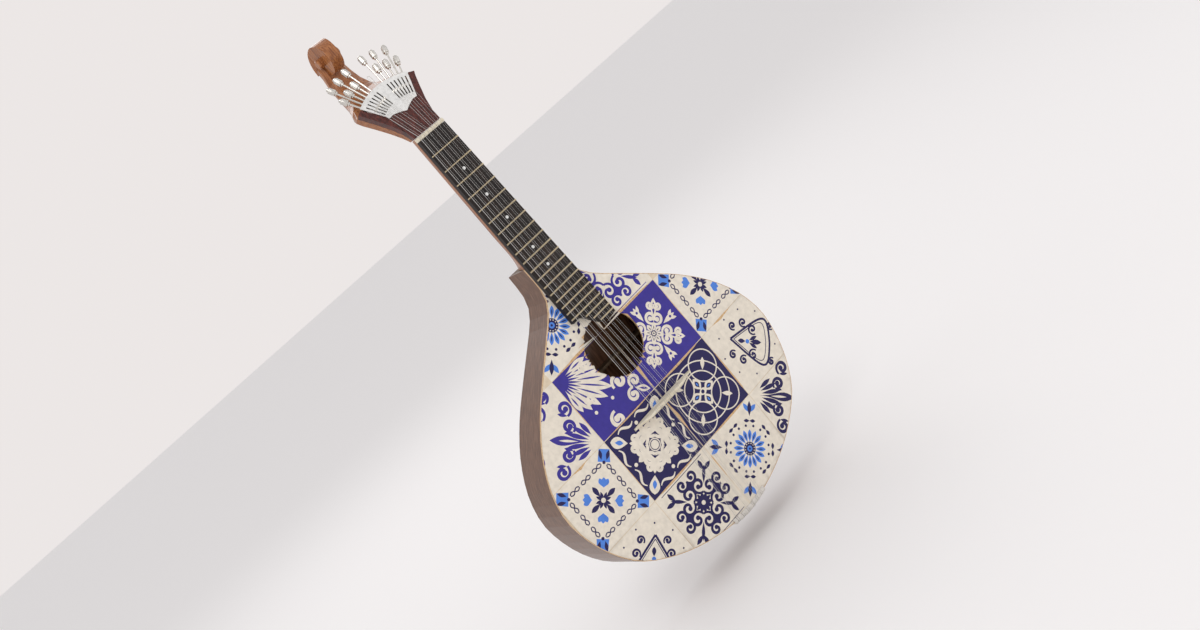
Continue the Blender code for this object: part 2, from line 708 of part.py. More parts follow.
def make_bed(parent):
    """The tuner's channel: a floor with an inner and an outer wall, bored for the screws."""
    floor_low = FACE_TOP - FACE_THICKNESS
    inner, outer = BED_INNER, PLATE_OUTER - 0.4
    angle = BED_HALF_ANGLE
    count = 25

    def band(low_radius, high_radius):
        return arc(low_radius, -angle, angle, count) + arc(high_radius, angle, -angle, count)
    bed = place(slab("tuner_bed", band(inner, outer), floor_low, -PLATE_THICKNESS - GAP),
                "tuner_bed", "nickel", parent)
    hollow = slab("bed_hollow", arc(inner + BED_WALL, -angle - 4, angle + 4, count)
                  + arc(outer - BED_WALL, angle + 4, -angle - 4, count), floor_low + BED_FLOOR, 2)
    boolean(bed, as_cutter(place(hollow, "bed_hollow", "nickel", parent)), "DIFFERENCE")
    for number, turn in enumerate(slot_angles()):
        bore = place(rod("bore", [(inner - 3, SCREW_RADIUS + GAP), (outer - BED_WALL - 1, SCREW_RADIUS + GAP),
                                  (outer - BED_WALL - 0.9, SHAFT_RADIUS + GAP), (outer + 3, SHAFT_RADIUS + GAP)], 8),
                     f"bore_{number + 1}", "nickel", parent)
        bore.matrix_basis = screw_place(turn)
        boolean(bed, as_cutter(bore), "DIFFERENCE")


def screw_place(angle):
    """The screw's frame: its axis points outward from the nut, at its depth under the plate."""
    return Matrix.Translation((0, 0, -SCREW_DEPTH * MM)) @ Matrix.Rotation(math.radians(-angle), 4, "Z")


def screw_mesh(tip):
    """A screw with its collar, shaft and fluted knob, along y from the nut's side outward."""
    wall_out = PLATE_OUTER - 0.4
    base = tip - KNOB_LENGTH
    stations = [
        (BED_INNER + 0.2, SCREW_RADIUS), (wall_out - BED_WALL - 0.6, SCREW_RADIUS),
        (wall_out - BED_WALL - 0.3, SHAFT_RADIUS), (wall_out + GAP, SHAFT_RADIUS),
        (wall_out + GAP + 0.01, COLLAR_RADIUS), (wall_out + GAP + COLLAR_LENGTH, COLLAR_RADIUS),
        (wall_out + GAP + COLLAR_LENGTH + 0.01, SHAFT_RADIUS), (base, SHAFT_RADIUS),
        (base + 0.01, KNOB_RADIUS * 0.62), (base + 2.0, KNOB_RADIUS * 0.62),
        (base + 2.4, KNOB_RADIUS), (tip - 2.6, KNOB_RADIUS),
        (tip - 2.2, KNOB_RADIUS * 0.7), (tip, KNOB_RADIUS * 0.55),
    ]
    return rod("screw", stations, 12)


def hook_mesh():
    """A threaded block on the screw, whose stem stands up through the slot and ends in a hook."""
    wide, deep, rise = HOOK_STEM
    outline = stem_outline(deep, SCREW_DEPTH + rise)
    return loft("hook_stem", [[(x, y, z) for y, z in outline] for x in (-wide / 2, wide / 2)])


def stem_outline(deep, top):
    """The hook's side: a post with a beak that points away from the nut, over the string's loop."""
    waist = SCREW_DEPTH + 0.9
    return [(-deep / 2, 1.2), (deep / 2, 1.2), (deep / 2, SCREW_DEPTH), (0.25, SCREW_DEPTH + 0.3),
            (0.25, waist), (deep / 2 + 0.3, waist + 0.5), (deep / 2, top - 0.2), (0, top),
            (-deep / 2, top - 0.8)]


def make_tuners(head):
    """Twelve screws and twelve hooks, each under an empty on its own axis."""
    long_mesh, short_mesh = screw_mesh(KNOB_TIPS[0]), screw_mesh(KNOB_TIPS[1])
    stem_mesh = hook_mesh()
    across, along, high = HOOK_BLOCK
    for number, angle in enumerate(slot_angles()):
        axis = new_empty(f"screw_axis_{number + 1}", head)
        axis.matrix_basis = screw_place(angle)
        order = number if number >= SLOTS_A_SIDE else 2 * SLOTS_A_SIDE - 1 - number
        mesh = short_mesh if order % 2 else long_mesh
        place(mesh, f"tuning_screw_{number + 1}", "nickel", axis)
        slide = new_empty(f"hook_slide_{number + 1}", axis, (0, HOOK_REST, 0))
        block = rectangle_block(across, along, high)
        hook = place(block, f"hook_{number + 1}", "nickel", slide)
        stem = place(stem_mesh, f"hook_stem_{number + 1}", "nickel", slide)
        boolean(hook, as_cutter(stem), "UNION")
        bore = place(rod("hook_bore", [(-along, SCREW_RADIUS + GAP), (along, SCREW_RADIUS + GAP)], 8),
                     f"hook_bore_{number + 1}", "nickel", slide)
        boolean(hook, as_cutter(bore), "DIFFERENCE")


def rectangle_block(across, along, high):
    bm = bmesh.new()
    bmesh.ops.create_cube(bm, size=1)
    bmesh.ops.scale(bm, vec=(across, along, high), verts=bm.verts)
    return mesh_of("hook_block", bm)


# Strings


def make_strings(parent):
    """Each string runs from its tail pin over the saddle, the bridge and the nut to its hook."""
    tails, bridges, nuts = (course_places(span) for span in (SPAN_AT_TAIL, SPAN_AT_BRIDGE, SPAN_AT_NUT))
    for number, angle in enumerate(slot_angles()):
        radius = STRING_RADII[number]
        lift = radius + GAP
        xt, xb, xn = tails[number], bridges[number], nuts[number]
        edge, top = tail_edge(xt), dome(xt, tail_edge(xt))
        out = edge - GAP - TAILPIECE_THICKNESS - lift
        crest = dome(xb, 0) + GAP + bridge_shape(xb)[1] + lift
        reach = HOOK_REST - HOOK_STEM[1] / 2 - GAP
        turn = math.radians(angle)
        hooked = head_point(reach * math.sin(turn), reach * math.cos(turn), 1.1)
        route = [
            (xt, out, pin_height(number, xt) + PIN_RADIUS + GAP), (xt, out, top + 0.2),
            (xt, edge - 0.5, top + 1.7 + lift), (xb, 0, crest),
            (xn, SCALE_LENGTH + 0.4, NUT_TOP + lift), (xn, NUT_END - 0.6, NUT_TOP - 0.2 + lift), hooked,
        ]
        curve = bpy.data.curves.new(f"string_{number + 1}", "CURVE")
        curve.dimensions = "3D"
        curve.bevel_depth = radius * MM
        curve.bevel_resolution = 1
        curve.use_fill_caps = True
        spline = curve.splines.new("POLY")
        spline.points.add(len(route) - 1)
        for point, place_mm in zip(spline.points, route):
            point.co = (*(value * MM for value in place_mm), 1)
        curve.materials.append(finish_material("steel"))
        string = bpy.data.objects.new(f"string_{number + 1}", curve)
        PARTS.objects.link(string)
        string.parent = parent


def build():
    middle_height = -10.0
    upright = Matrix.Rotation(math.pi / 2, 4, "X")
    instrument = new_empty("instrument", None, (0, back_outer(0, middle_height), -middle_height), upright)
    make_soundboard(instrument)
    make_ribs(instrument)
    make_linings(instrument)
    make_back(instrument)
    make_blocks(instrument)
    make_braces(instrument)
    make_bridge(instrument)
    make_tailpiece(instrument)
    make_fingerboard(instrument)
    make_nut(instrument)
    make_neck(instrument)
    tilt = Matrix.Rotation(-HEAD_ANGLE, 4, "X")
    head = new_empty("head_frame", instrument, head_point(0, 0, 0), tilt)
    make_head(head)
    make_face(head)
    make_fan_plate(head)
    make_bed(head)
    make_tuners(head)
    make_strings(instrument)


clear_scene()
PARTS = new_collection("portuguese guitar")
CUTTERS = new_collection("cutters")
build()
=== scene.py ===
# Looks of a Portuguese guitar: tiled front, woods, metals, frets, dots, knobs and strings over the frame
import math

import bpy
import numpy as np
from mathutils import Matrix, Vector
from mathutils.geometry import delaunay_2d_cdt


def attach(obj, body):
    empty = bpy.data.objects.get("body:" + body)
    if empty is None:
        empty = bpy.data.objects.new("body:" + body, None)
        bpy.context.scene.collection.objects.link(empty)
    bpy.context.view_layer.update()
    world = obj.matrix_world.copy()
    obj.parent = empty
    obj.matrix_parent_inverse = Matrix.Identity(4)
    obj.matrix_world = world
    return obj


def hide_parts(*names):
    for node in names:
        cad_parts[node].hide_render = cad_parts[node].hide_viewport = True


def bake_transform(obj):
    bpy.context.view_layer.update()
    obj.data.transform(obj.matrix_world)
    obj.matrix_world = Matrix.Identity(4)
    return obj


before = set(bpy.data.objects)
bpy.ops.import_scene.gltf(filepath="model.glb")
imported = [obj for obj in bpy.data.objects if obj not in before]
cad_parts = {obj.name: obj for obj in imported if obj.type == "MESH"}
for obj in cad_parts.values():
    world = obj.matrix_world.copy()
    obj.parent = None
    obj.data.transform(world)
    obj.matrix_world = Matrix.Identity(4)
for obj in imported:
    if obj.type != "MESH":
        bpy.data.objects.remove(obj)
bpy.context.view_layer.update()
print("frame loaded:", len(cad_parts), "nodes")

# Lengths are in mm in the instrument's own frame: x to the treble side, y towards the head, z out of the
# front, from the soundboard's top under the bridge
mm = 0.001
rowLift = 79.706  # from the soundboard's top to the back's outside
rowUp = 10.0  # from the frame's origin up to the bridge
quarter = math.pi / 4

front = {
    "domeSpan": 190.0,  # where the falls are measured
    "fallAcross": 5.2,
    "fallToTail": 5.2,
    "fallToNeck": 3.0,
    "holeCentre": (0.0, 95.4),
    "holeRadius": 42.0,
}

board = {
    "scaleLength": 440.0,  # from bridge to nut
    "bodyFret": 18,
    "trebleFret": 21,
    "topAtBody": 6.4,
    "slope": 0.0347,  # fall of the top towards the nut
    "halfAtNut": 22.0,
    "halfGrowth": 5.1,  # from nut to body
    "endPast": 4.6,  # board left below the last fret
    "curveStart": -17,  # the end's curve runs from here
    "curveLength": 26,  # over this much of the width
}

head = {"angle": math.radians(20.5)}  # leans back from the fingerboard


# The frame's place, in metres, of points in mm
def fromInstrument(x, y, z):
    x, y, z = np.broadcast_arrays(x, y, z)
    return np.stack([x * mm, (-z - rowLift) * mm, (y + rowUp) * mm], axis=-1)


# Height of the soundboard's top: a parabola across less a parabola along, shallower towards the neck
def dome(x, y):
    fall = np.where(y > 0, front["fallToNeck"], front["fallToTail"])
    return -front["fallAcross"] * (x / front["domeSpan"]) ** 2 - fall * (y / front["domeSpan"]) ** 2


# Each fret takes a twelfth of an octave off the string that is left
def fretHeight(number):
    return board["scaleLength"] * 2 ** (-number / 12)


def boardTop(y):
    return board["topAtBody"] - board["slope"] * (y - fretHeight(board["bodyFret"]))


def boardHalf(y):
    taper = (board["scaleLength"] - y) / (board["scaleLength"] - fretHeight(board["bodyFret"]))
    return board["halfAtNut"] + board["halfGrowth"] * taper


# The board's lower end: a smooth step from the bass side's height to the treble side's
def boardEnd(x):
    bass = fretHeight(board["bodyFret"]) - board["endPast"]
    treble = fretHeight(board["trebleFret"]) - board["endPast"]
    share = np.clip((x - board["curveStart"]) / board["curveLength"], 0, 1)
    return bass + (treble - bass) * share * share * (3 - 2 * share)


# A point that is along and above the head's front, which leans back at the nut
def headPoint(x, along, height):
    lean, rise = math.sin(head["angle"]), math.cos(head["angle"])
    y = board["scaleLength"] + along * rise + height * lean
    z = boardTop(board["scaleLength"]) - along * lean + height * rise
    return fromInstrument(x, y, z)


# Materials

shine = {"coatRoughness": 0.08, "specular": 0.3}
grain = {"scale": 9.0, "detail": 8.0, "stops": (0.30, 0.50, 0.70)}
pores = {"scale": 30.0, "detail": 6.0, "strength": 0.12, "depth": 0.0004}
glaze = {"roughness": 0.32, "coat": 0.25, "scale": 160.0, "detail": 5.0, "stops": (0.3, 0.55, 0.8)}
glazeShade = {"low": 0.90, "high": 1.08, "lift": 0.002}  # how far a printed colour is uneven
wear = {"scale": 220.0, "detail": 6.0, "stops": (0.25, 0.6), "low": 0.82, "strength": 0.06, "depth": 0.0001}


# A Principled material with its tree, its shader and its Object coordinates
def newMaterial(name, roughness, metallic=0.0, coat=0.0):
    made = bpy.data.materials.new(name)
    made.use_nodes = True
    tree = made.node_tree
    shader = tree.nodes["Principled BSDF"]
    shader.inputs["Roughness"].default_value = roughness
    shader.inputs["Metallic"].default_value = metallic
    shader.inputs["Coat Weight"].default_value = coat
    shader.inputs["Coat Roughness"].default_value = shine["coatRoughness"]
    shader.inputs["Specular IOR Level"].default_value = shine["specular"]
    place = tree.nodes.new("ShaderNodeTexCoord").outputs["Object"]
    return made, tree, shader, place


def noiseNode(tree, place, scale, stretch, detail):
    mapping = tree.nodes.new("ShaderNodeMapping")
    mapping.inputs["Scale"].default_value = stretch
    tree.links.new(place, mapping.inputs["Vector"])
    noise = tree.nodes.new("ShaderNodeTexNoise")
    noise.inputs["Scale"].default_value = scale
    noise.inputs["Detail"].default_value = detail
    tree.links.new(mapping.outputs["Vector"], noise.inputs["Vector"])
    return noise.outputs["Fac"]


def rampColours(tree, shader, factor, stops, shades):
    ramp = tree.nodes.new("ShaderNodeValToRGB")
    while len(ramp.color_ramp.elements) < len(stops):
        ramp.color_ramp.elements.new(0.5)
    for element, position, shade in zip(ramp.color_ramp.elements, stops, shades):
        element.position = position
        element.color = (*shade, 1)
    tree.links.new(factor, ramp.inputs["Fac"])
    tree.links.new(ramp.outputs["Color"], shader.inputs["Base Color"])


def addBump(tree, shader, factor, strength, depth):
    bump = tree.nodes.new("ShaderNodeBump")
    bump.inputs["Strength"].default_value = strength
    bump.inputs["Distance"].default_value = depth
    tree.links.new(factor, bump.inputs["Height"])
    tree.links.new(bump.outputs["Normal"], shader.inputs["Normal"])


# Straight grain along the axis with the smallest stretch, with fine pores in relief
def woodMaterial(name, shades, stretch, roughness, coat):
    made, tree, shader, place = newMaterial(name, roughness, coat=coat)
    streaks = noiseNode(tree, place, grain["scale"], stretch, grain["detail"])
    rampColours(tree, shader, streaks, grain["stops"], shades)
    fine = noiseNode(tree, place, pores["scale"], stretch, pores["detail"])
    addBump(tree, shader, fine, pores["strength"], pores["depth"])
    return made


# A printed colour under a clear lacquer, a little uneven as a glaze is
def glazeMaterial(name, colour):
    made, tree, shader, place = newMaterial(name, glaze["roughness"], coat=glaze["coat"])
    patch = noiseNode(tree, place, glaze["scale"], (1, 1, 1), glaze["detail"])
    low = tuple(channel * glazeShade["low"] for channel in colour)
    high = tuple(min(1.0, channel * glazeShade["high"] + glazeShade["lift"]) for channel in colour)
    rampColours(tree, shader, patch, glaze["stops"], (low, colour, high))
    return made


def metalMaterial(name, colour, roughness):
    made, tree, shader, place = newMaterial(name, roughness, metallic=1.0)
    rubbed = noiseNode(tree, place, wear["scale"], (1, 1, 1), wear["detail"])
    low = tuple(channel * wear["low"] for channel in colour)
    rampColours(tree, shader, rubbed, wear["stops"], (low, colour))
    addBump(tree, shader, rubbed, wear["strength"], wear["depth"])
    return made


lengthwise = (60, 60, 2)
fineLengthwise = (80, 80, 3)
walnut = ((0.07, 0.028, 0.013), (0.14, 0.062, 0.032), (0.21, 0.105, 0.058))
cedar = ((0.17, 0.05, 0.015), (0.33, 0.115, 0.035), (0.46, 0.19, 0.07))
rosewood = ((0.025, 0.004, 0.003), (0.075, 0.014, 0.010), (0.14, 0.03, 0.02))
ebony = ((0.006, 0.005, 0.005), (0.014, 0.010, 0.009), (0.035, 0.020, 0.014))
bone = ((0.58, 0.50, 0.36), (0.74, 0.67, 0.52), (0.82, 0.76, 0.62))
# Spruce inside the body, painted far darker than the wood is: painted shade, so that the inside seen through
# the soundhole reads dark
shadeDarkenedSpruce = ((0.08, 0.05, 0.03), (0.14, 0.09, 0.05), (0.20, 0.13, 0.08))
spruceEdge = ((0.45, 0.25, 0.10), (0.62, 0.40, 0.20), (0.72, 0.50, 0.28))

woods = {  # dark, middle and light shade, stretch of the grain on x, y and z, roughness, coat
    "walnutRib": (walnut, (8, 90, 8), 0.35, 0.2),
    "walnutBack": (walnut, (30, 30, 1.5), 0.35, 0.2),
    "cedarNeck": (cedar, lengthwise, 0.32, 0.4),
    "rosewoodFace": (rosewood, lengthwise, 0.25, 0.3),
    "ebonyBoard": (ebony, lengthwise, 0.5, 0.0),
    "polishedBone": (bone, (10, 40, 40), 0.3, 0.2),
    # Wood inside the body: its dark shades are painted shade
    "spruceInsideShaded": (shadeDarkenedSpruce, fineLengthwise, 0.6, 0.0),
    "boardEdge": (spruceEdge, fineLengthwise, 0.35, 0.4),
}

metals = {  # colour, roughness
    "polishedNickel": ((0.74, 0.71, 0.66), 0.2),
    "fanPlateNickel": ((0.95, 0.94, 0.91), 0.32),
    "stringSteel": ((0.68, 0.66, 0.63), 0.25),
    "paleBrass": ((0.70, 0.58, 0.38), 0.28),
}

glazes = {
    "pearlDot": (0.80, 0.80, 0.78),
    "creamPrint": (0.80, 0.73, 0.62),
    "navyPrint": (0.008, 0.004, 0.075),
    "cobaltPrint": (0.035, 0.022, 0.27),
    "skyPrint": (0.07, 0.22, 0.70),
    "groutPrint": (0.72, 0.60, 0.44),
}

materials = {name: woodMaterial(name, *look) for name, look in woods.items()}
materials.update({name: metalMaterial(name, *look) for name, look in metals.items()})
materials.update({name: glazeMaterial(name, colour) for name, colour in glazes.items()})
print("materials made:", len(materials))

nodeLooks = {
    "soundboard": "boardEdge",
    "back_plate": "walnutBack",
    "rib_bass": "walnutRib",
    "rib_treble": "walnutRib",
    "neck": "cedarNeck",
    "head": "cedarNeck",
    "head_front": "rosewoodFace",
    "fingerboard": "ebonyBoard",
    "nut": "polishedBone",
    "bridge": "polishedBone",
    "tailpiece": "polishedNickel",
    "fan_plate": "fanPlateNickel",
    "tuner_bed": "polishedNickel",
}


# Nodes that the dictionary doesn't name are wires, screws and hooks, or wood inside the body, which gets
# spruce darkened as painted shade
def dressNodes():
    for name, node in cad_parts.items():
        look = nodeLooks.get(name, "spruceInsideShaded")
        if name.startswith("string"):
            look = "stringSteel"
        if name.startswith(("tuning_screw", "hook")):
            look = "polishedNickel"
        node.data.materials.clear()
        node.data.materials.append(materials[look])


dressNodes()
print("nodes dressed")


# A mesh that rides on a body; looks are material names, and indices give each face its own
def newPiece(name, vertices, faces, looks, body="instrument", smooth=True, indices=None):
    mesh = bpy.data.meshes.new(name)
    mesh.from_pydata(vertices, [], faces)
    for look in looks:
        mesh.materials.append(materials[look])
    if indices is not None:
        mesh.polygons.foreach_set("material_index", indices)
    mesh.polygons.foreach_set("use_smooth", [smooth] * len(faces))
    mesh.update()
    piece = bpy.data.objects.new(name, mesh)
    bpy.context.scene.collection.objects.link(piece)
    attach(piece, body)
    return piece


# Quads between neighbouring rings of a closed skin, then a cap over each end ring
def skinFaces(rings, sides, first=0, turned=False):
    here = np.arange(sides)
    beside = (here + 1) % sides
    start = first + sides * np.arange(rings - 1)[:, None]
    corners = [start + here, start + beside, start + sides + beside, start + sides + here]
    quads = np.stack(corners, axis=-1).reshape(-1, 4)
    last = first + sides * (rings - 1)
    caps = [range(first, first + sides)[::-1], range(last, last + sides)]
    if turned:
        quads = quads[:, [0, 3, 2, 1]]
        caps = [cap[::-1] for cap in caps]
    return quads.tolist() + [list(cap) for cap in caps]


# Motifs of the tiles. Each one gives a list of a colour and an outline, laid from the ground up. Places
# are in mm from the tile's middle, and turns are from its x edge. A petal has its reach and width after
# its turn, and a scroll has its size, its hand and its width.

leafPoints = 12  # on one side of a petal

curl = {
    "points": 30,
    "turns": 1.15,
    "tighten": 0.78,  # share of the size that is wound in
    "broaden": 1.4,
    "thinnest": 0.35,
    "swell": (0.15, 0.7),  # start and length on half a sine wave
    "bead": 0.75,
    "beadSides": 12,
}


# Points a radius away from the centre at each turn
def onCircle(centre, radius, turns):
    return np.c_[centre[0] + radius * np.cos(turns), centre[1] + radius * np.sin(turns)]


# The place at a distance along a turn
def at(turn, distance, start=(0, 0)):
    return (start[0] + distance * math.cos(turn), start[1] + distance * math.sin(turn))


# Points turned about the middle and then carried to a centre
def moved(points, centre, turn):
    x, y = np.asarray(points, float).T
    c, s = math.cos(turn), math.sin(turn)
    return np.c_[centre[0] + x * c - y * s, centre[1] + x * s + y * c]


def disc(colour, centre, radius, sides=20):
    return [(colour, onCircle(centre, radius, np.linspace(0, math.tau, sides, endpoint=False)))]


def square(colour, half, centre=(0, 0), turn=0.0):
    return [(colour, moved([(-half, -half), (half, -half), (half, half), (-half, half)], centre, turn))]


# A leaf: half its width is a sine of its length's share, bent so that it is widest at the peak
def petal(colour, centre, turn, reach, wide, near=0.0, peak=0.55):
    share = np.linspace(0, 1, leafPoints)
    bulge = np.sin(math.pi * share ** (math.log(0.5) / math.log(peak)))
    side = np.c_[near + (reach - near) * share, wide / 2 * bulge]
    return [(colour, moved(np.vstack([side, side[-2:0:-1] * (1, -1)]), centre, turn))]


# A stroke: half the width is set off on both sides of a line, at right angles to it
def band(colour, line, wide):
    line = np.array(line, float)
    along = np.gradient(line, axis=0)
    along /= np.linalg.norm(along, axis=1)[:, None] + 1e-9
    across = np.c_[-along[:, 1], along[:, 0]] * (np.broadcast_to(wide, len(line))[:, None] / 2)
    return [(colour, np.vstack([line + across, (line - across)[::-1]]))]


# A curl: the radius shrinks evenly with the angle, and the stroke swells and ends in a round bead
def scroll(colour, centre, turn, size, hand, wide):
    wide *= curl["broaden"]
    share = np.linspace(0, 1, curl["points"])
    angle = curl["turns"] * math.tau * share * hand
    radius = size * (1 - curl["tighten"] * share)
    line = moved(np.c_[size - radius * np.cos(angle), radius * np.sin(angle)], centre, turn)
    swell = np.sin(math.pi * (curl["swell"][0] + curl["swell"][1] * share))
    made = band(colour, line, wide * (curl["thinnest"] + (1 - curl["thinnest"]) * swell))
    return made + disc(colour, line[-1], wide * curl["bead"], curl["beadSides"])


# The same motif at even turns round the tile's middle
def around(count, make, start=0.0):
    made = []
    for k in range(count):
        made += make(start + math.tau * k / count)
    return made


# Cream eight-petalled flower with scrolled arms and buds
def flowerTile():
    made = around(4, lambda t: petal("cream", at(t, 10), t, 36, 9, peak=0.7), quarter)
    made += around(4, lambda t: petal("cobalt", at(t, 24), t, 17, 4), quarter)
    for hand in (1, -1):
        made += around(4, lambda t: scroll("cream", at(t, 13), t + hand * 0.55, 8.5, hand, 3.0), quarter)
        made += around(4, lambda t: scroll("cream", at(t, 38), t + hand * 1.9, 6.0, hand, 2.4), quarter)
        made += around(4, lambda t: petal("cream", at(t, 30), t + hand * 0.5, 13, 4.4))
    made += around(4, lambda t: petal("cream", at(t, 20), t, 22, 7.0))
    made += around(4, lambda t: disc("cobalt", at(t, 34), 1.8, 12))
    made += around(8, lambda t: petal("cream", (0, 0), t, 14, 6.4, peak=0.65))
    made += around(8, lambda t: petal("navy", (0, 0), t, 10, 1.2, near=5))
    return made + disc("navy", (0, 0), 4.0) + disc("cream", (0, 0), 2.6) + disc("navy", (0, 0), 1.1, 10)


# A large leaf that fans from one corner, with scrolls beside it
def palmetteTile():
    corner = (-44, 44)
    made = []
    for step, spread in enumerate(np.linspace(-0.78, 0.78, 9)):
        reach = 74 - 34 * abs(spread) ** 1.2
        wide = 12 - 3 * abs(spread)
        made += petal("cream", corner, -quarter + spread, reach, wide, near=14, peak=0.62)
        made += petal("cobalt", corner, -quarter + spread, reach - 9, 2.2, near=24)
        if step % 2:
            made += disc("cream", at(spread - quarter, reach + 6, corner), 2.4, 12)
    for hand, outer, beside in ((1, (8, -12), (-8, 30)), (-1, (-12, -32), (-30, 8))):
        made += scroll("cream", outer, -quarter + hand * 1.0, 11, hand, 4.0)
        made += scroll("cream", (28, -28), -quarter + hand * 1.35, 9, hand, 3.2)
        made += scroll("cream", beside, hand * 1.2, 7, hand, 2.6)
    made += petal("cream", (30, -30), -quarter, 22, 9)
    return made + petal("cobalt", (34, -34), -quarter, 13, 3)


# Cream disc with four pairs of scrolls, corner leaves and waved bands
def rosetteTile():
    made = []
    sweep = np.linspace(-1, 1, 15)
    swell = 1.2 + 2.4 * np.cos(sweep * 1.4) ** 2
    for hand in (1, -1):
        made += around(4, lambda t: scroll("cream", at(t, 12), t + hand * 0.75, 9.5, hand, 4.2), quarter)
        made += around(4, lambda t: scroll("cream", at(t, 34), t + hand * 2.3, 7.5, hand, 3.0), quarter)
        wave = np.c_[43 + 3.2 * np.sin(3 * sweep), hand * 16 + 13 * sweep]
        made += around(4, lambda t: band("cream", moved(wave, (0, 0), t), swell))
    made += around(4, lambda t: petal("cream", at(t, 16), t, 20, 7), quarter)
    made += around(4, lambda t: petal("cream", at(t, 62), t + math.pi, 24, 15, peak=0.4), quarter)
    made += around(4, lambda t: petal("sky", at(t, 56), t + math.pi, 12, 6), quarter)
    made += around(4, lambda t: petal("cream", at(t, 11), t, 21, 8, peak=0.7))
    made += around(4, lambda t: disc("cream", at(t, 37), 2.6, 14))
    made += around(8, lambda t: disc("cream", at(t, 25), 1.6, 10), quarter / 2)
    return made + disc("cream", (0, 0), 8.4) + disc("navy", (0, 0), 6.9) + disc("cream", (0, 0), 5.8)


# Interlaced thin circles round a flower of four with an eye; an arc stops where it would leave the tile
def circlesTile():
    made = []
    steps = 40
    border = 47
    turns = np.linspace(0, math.tau, steps + 1)
    rings = [((0, 0), 40), ((0, 0), 27)] + [(at(quarter * (2 * k + 1), 34), 21) for k in range(4)]
    for centre, radius in rings:
        within = turns[np.abs(onCircle(centre, radius, turns)).max(axis=1) < border]
        for a, b in zip(within, within[1:]):
            if b - a < 1.5 * math.tau / steps:
                made += band("cream", onCircle(centre, radius, np.linspace(a, b, 3)), 1.7)
    made += around(4, lambda t: petal("cream", (0, 0), t, 21, 13, near=3))
    made += around(4, lambda t: petal("navy", (0, 0), t, 17, 6, near=7))
    made += around(4, lambda t: petal("sky", (0, 0), t, 15, 2.5, near=9))
    made += around(4, lambda t: petal("cream", at(t, 28), t, 17, 6), quarter)
    return made + petal("cream", (-8, 0), 0, 16, 9) + disc("navy", (0, 0), 2.6)


# Blue corner squares with dark leaves, a frame of short waved strokes and clovers
def leafSquaresTile():
    made = around(4, lambda t: square("sky", 8.5, at(t, 55), t), quarter)
    sweep = np.linspace(-1, 1, 11)
    for hand in (1, -1):
        made += around(4, lambda t: petal("navy", at(t + hand * 0.07, 49), t + hand * 0.25, 13, 5), quarter)
        for offset in (-20, 0, 20):
            wave = np.c_[34 + 2.4 * hand * np.sin(3 * sweep), offset + 8 * sweep]
            made += around(4, lambda t: band("navy", moved(wave, (0, 0), t), 1.5))
    made += around(4, lambda t: disc("navy", at(t, 46), 2.2, 12), quarter)
    for lean in (-0.5, 0, 0.5):
        made += around(4, lambda t: petal("sky", at(t, 15), t + lean, 13, 6.5, peak=0.65), quarter)
    made += around(4, lambda t: petal("navy", (0, 0), t, 22, 6.5, near=3, peak=0.65))
    made += around(8, lambda t: petal("navy", (0, 0), t, 11, 4), quarter / 2)
    return made + disc("cream", (0, 0), 3.2)


# A filigree heart that points to one corner, with scrolls and dots
def heartTile(turn):
    made = []
    share = np.linspace(0, 1, 24)
    down = 34 - 62 * share + 16 * np.sin(math.pi * share)
    out = 31 * np.sin(math.pi * share ** 0.8)
    for hand in (1, -1):
        for size, wide in ((1.0, 3.0), (0.82, 1.1)):
            made += band("navy", moved(np.c_[size * down, hand * size * out], (2, 0), turn), wide)
        for distance, angle, size in ((17, 0.7, 7.5), (20, 1.7, 6.5), (24, 2.5, 6.0), (45, 0.45, 5.5)):
            made += scroll("navy", at(turn + hand * angle, distance), turn + hand * 2.2, size, hand, 2.2)
        made += petal("navy", (0, 0), turn + hand * 0.5, 17, 5, near=3)
    made += around(10, lambda t: disc("navy", at(t, 44), 1.3, 8), turn)
    made += petal("navy", (0, 0), turn, 22, 7, near=4)
    made += petal("navy", (0, 0), turn + math.pi, 15, 6, near=3)
    return made + disc("sky", (0, 0), 3)


# Sixteen blue rays with dark veins inside a ring of leaves
def sunburstTile():
    made = around(16, lambda t: petal("sky", (0, 0), t, 25, 6, near=8, peak=0.6))
    made += around(16, lambda t: petal("navy", (0, 0), t, 21, 1.6, near=12))
    made += around(16, lambda t: disc("navy", at(t, 30), 1.8, 10), quarter / 4)
    for hand in (1, -1):
        made += around(8, lambda t: petal("navy", at(t, 36), t + hand * math.pi / 2, 9, 4.5))
        made += around(4, lambda t: petal("sky", at(t, 47), t + hand * 0.7, 15, 6), quarter)
    made += around(4, lambda t: petal("navy", at(t, 42), t, 20, 6), quarter)
    made += disc("navy", (0, 0), 9) + around(12, lambda t: disc("cream", at(t, 7), 0.8, 8))
    return made + disc("sky", (0, 0), 4) + disc("navy", (0, 0), 1.6, 10)


# Scrolls and leaves that spread from one corner
def radiatingTile(turn, colour):
    corner = at(turn + math.pi, 64)
    made = petal(colour, corner, turn, 66, 12, near=10, peak=0.7)
    made += petal("cream", corner, turn, 54, 3, near=28)
    sprays = ((0.32, 36, 9), (0.62, 52, 10), (0.30, 78, 11), (0.55, 84, 8), (0.12, 100, 7))
    for hand in (1, -1):
        for spread, reach, size in sprays:
            root = at(turn + hand * spread, reach, corner)
            made += scroll(colour, root, turn + hand * (0.4 + spread), size, hand, 3.4)
            made += petal(colour, root, turn + hand * (spread - 0.5), size * 1.4, 4.5)
        for spread in (0.2, 0.45, 0.7):
            made += petal(colour, corner, turn + hand * spread, 50 - 20 * spread, 6, near=14)
    return made


